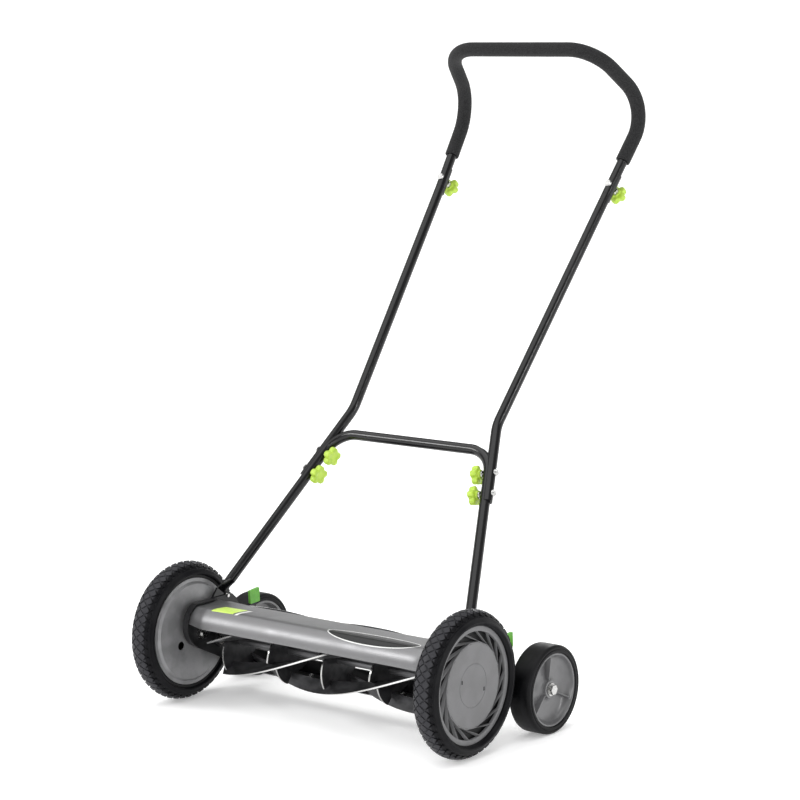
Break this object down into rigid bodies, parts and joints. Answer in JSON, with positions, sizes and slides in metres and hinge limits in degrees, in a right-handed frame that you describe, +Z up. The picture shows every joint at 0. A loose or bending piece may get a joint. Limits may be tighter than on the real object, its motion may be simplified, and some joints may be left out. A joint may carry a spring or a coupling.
{
  "type": "push reel mower",
  "caption": "Push reel mower with helical cutting reel, bed knife, geared drive wheels, adjustable tail wheels and a folding tube handle with foam grip.",
  "frame": {"origin": "On the ground midway between the two drive wheels, straight under the drive axle.", "axes": "+Z up; +Y to the rear, towards the operator; +X to the operator's left, along the drive axle and the reel."},
  "size_m": [0.7108, 0.8397, 1.1892],
  "materials": {
    "frame_black": "satin black powder coat on pressed steel",
    "tube_black": "glossy black powder coat on steel tube",
    "cover_silver": "satin silver-grey metallic paint",
    "dust_grey": "satin dark grey paint",
    "blade_steel": "dark hardened steel with ground bright edges",
    "knife_steel": "dark ground steel",
    "zinc": "bright zinc plate",
    "gear_steel": "sintered steel, lightly oiled",
    "bronze": "oiled sintered bronze",
    "wheel_plastic": "black moulded plastic",
    "hubcap_grey": "matte silver-grey plastic",
    "tail_rim_grey": "light grey plastic, slight gloss",
    "tyre_rubber": "black rubber with diamond blocks",
    "tail_tyre": "smooth black plastic tread",
    "foam": "charcoal foam rubber, fine pores",
    "knob_lime": "lime green plastic",
    "tab_green": "mid green plastic"
  },
  "bodies": {
    "chassis": {"side_plate_left": "frame_black", "side_plate_right": "frame_black", "blade_cover": "cover_silver", "tie_rod": "frame_black", "tie_rod_screws": "zinc", "cutter_bar": "frame_black", "bed_knife": "knife_steel", "bed_knife_screws": "zinc", "cutter_bar_bolts": "zinc", "knife_adjusters": "zinc", "dust_cover_left": "dust_grey", "dust_cover_right": "dust_grey", "wheel_axles": "zinc", "axle_nuts_and_clips": "zinc", "bearing_cups": "frame_black", "reel_bearings": "gear_steel", "handle_pivot_bolts": "zinc", "handle_stops": "zinc", "arm_pivot_bolts": "zinc"},
    "reel": {"reel_shaft": "frame_black", "drive_pawls": "gear_steel", "shaft_clips": "zinc", "reel_blades": "blade_steel", "reel_spiders": "blade_steel"},
    "left_pinion": {"drive_pinion_left": "gear_steel"},
    "right_pinion": {"drive_pinion_right": "gear_steel"},
    "handle": {"lower_handle": "tube_black", "middle_tube_left": "tube_black", "middle_tube_right": "tube_black", "upper_handle": "tube_black", "foam_grip": "foam", "handle_bolts": "zinc"},
    "left_wheel": {"drive_wheel_left": "wheel_plastic", "tyre_left": "tyre_rubber", "hubcap_left": "hubcap_grey", "wheel_bushing_left": "bronze"},
    "left_tail_arm": {"tail_arm_left": "frame_black", "tail_wheel_bolt_left": "zinc", "lever_pin_left": "zinc"},
    "left_lever": {"height_lever_left": "frame_black", "lever_tab_left": "tab_green"},
    "left_tail_wheel": {"tail_rim_left": "tail_rim_grey", "tail_tyre_left": "tail_tyre"},
    "left_lower_knob": {"lower_knob_left": "knob_lime"},
    "left_middle_knob": {"middle_knob_left": "knob_lime"},
    "left_upper_knob": {"upper_knob_left": "knob_lime"},
    "right_wheel": {"drive_wheel_right": "wheel_plastic", "tyre_right": "tyre_rubber", "hubcap_right": "hubcap_grey", "wheel_bushing_right": "bronze"},
    "right_tail_arm": {"tail_arm_right": "frame_black", "tail_wheel_bolt_right": "zinc", "lever_pin_right": "zinc"},
    "right_lever": {"height_lever_right": "frame_black", "lever_tab_right": "tab_green"},
    "right_tail_wheel": {"tail_rim_right": "tail_rim_grey", "tail_tyre_right": "tail_tyre"},
    "right_lower_knob": {"lower_knob_right": "knob_lime"},
    "right_middle_knob": {"middle_knob_right": "knob_lime"},
    "right_upper_knob": {"upper_knob_right": "knob_lime"}
  },
  "joints": [
    {"name": "reel_spin", "type": "hinge", "parent": "chassis", "child": "reel", "pos_m": [0, 0.05727, 0.10911], "axis": [1, 0, 0], "continuous": true},
    {"name": "left_pinion_spin", "type": "hinge", "parent": "chassis", "child": "left_pinion", "pos_m": [0.308, 0.05727, 0.10911], "axis": [1, 0, 0], "continuous": true},
    {"name": "left_wheel_spin", "type": "hinge", "parent": "chassis", "child": "left_wheel", "pos_m": [0.3181, 0, 0.127], "axis": [1, 0, 0], "continuous": true},
    {"name": "right_wheel_spin", "type": "hinge", "parent": "chassis", "child": "right_wheel", "pos_m": [-0.3181, 0, 0.127], "axis": [1, 0, 0], "continuous": true},
    {"name": "right_pinion_spin", "type": "hinge", "parent": "chassis", "child": "right_pinion", "pos_m": [-0.308, 0.05727, 0.10911], "axis": [1, 0, 0], "continuous": true},
    {"name": "left_height_arm", "type": "hinge", "parent": "chassis", "child": "left_tail_arm", "pos_m": [0.2855, 0.105, 0.095], "axis": [1, 0, 0], "range_deg": [-20, 20]},
    {"name": "left_lever_release", "type": "hinge", "parent": "left_tail_arm", "child": "left_lever", "pos_m": [0.2912, 0.151, 0.104], "axis": [0, 1, 0], "range_deg": [0, 5], "stiffness_Nm_per_rad": 1, "springref_deg": -11.46},
    {"name": "left_tail_spin", "type": "hinge", "parent": "left_tail_arm", "child": "left_tail_wheel", "pos_m": [0.333, 0.2118, 0.0784], "axis": [1, 0, 0], "continuous": true},
    {"name": "right_height_arm", "type": "hinge", "parent": "chassis", "child": "right_tail_arm", "pos_m": [-0.2855, 0.105, 0.095], "axis": [1, 0, 0], "range_deg": [-20, 20]},
    {"name": "right_lever_release", "type": "hinge", "parent": "right_tail_arm", "child": "right_lever", "pos_m": [-0.2912, 0.151, 0.104], "axis": [0, -1, 0], "range_deg": [0, 5], "stiffness_Nm_per_rad": 1, "springref_deg": -11.46},
    {"name": "right_tail_spin", "type": "hinge", "parent": "right_tail_arm", "child": "right_tail_wheel", "pos_m": [-0.333, 0.2118, 0.0784], "axis": [1, 0, 0], "continuous": true},
    {"name": "handle_fold", "type": "hinge", "parent": "chassis", "child": "handle", "pos_m": [0, 0.044, 0.169], "axis": [1, 0, 0], "range_deg": [0, 65]},
    {"name": "left_lower_knob_turn", "type": "hinge", "parent": "handle", "child": "left_lower_knob", "pos_m": [0.17974, 0.21659, 0.39921], "axis": [-0.9581, -0.1735, -0.2279], "continuous": true},
    {"name": "left_middle_knob_turn", "type": "hinge", "parent": "handle", "child": "left_middle_knob", "pos_m": [0.16771, 0.24096, 0.43123], "axis": [-0.9581, -0.1735, -0.2279], "continuous": true},
    {"name": "left_upper_knob_turn", "type": "hinge", "parent": "handle", "child": "left_upper_knob", "pos_m": [0.19355, 0.64117, 0.90887], "axis": [0, 0.8037, -0.595], "continuous": true},
    {"name": "right_lower_knob_turn", "type": "hinge", "parent": "handle", "child": "right_lower_knob", "pos_m": [-0.17974, 0.21659, 0.39921], "axis": [0.9581, -0.1735, -0.2279], "continuous": true},
    {"name": "right_middle_knob_turn", "type": "hinge", "parent": "handle", "child": "right_middle_knob", "pos_m": [-0.16771, 0.24096, 0.43123], "axis": [0.9581, -0.1735, -0.2279], "continuous": true},
    {"name": "right_upper_knob_turn", "type": "hinge", "parent": "handle", "child": "right_upper_knob", "pos_m": [-0.19355, 0.64117, 0.90887], "axis": [0, 0.8037, -0.595], "continuous": true}
  ],
  "couplings": [
    {"joint": "left_pinion_spin", "follows": "reel_spin", "ratio": 1},
    {"joint": "left_wheel_spin", "follows": "reel_spin", "ratio": 0.18919},
    {"joint": "right_pinion_spin", "follows": "right_wheel_spin", "ratio": 5.2857}
  ]
}
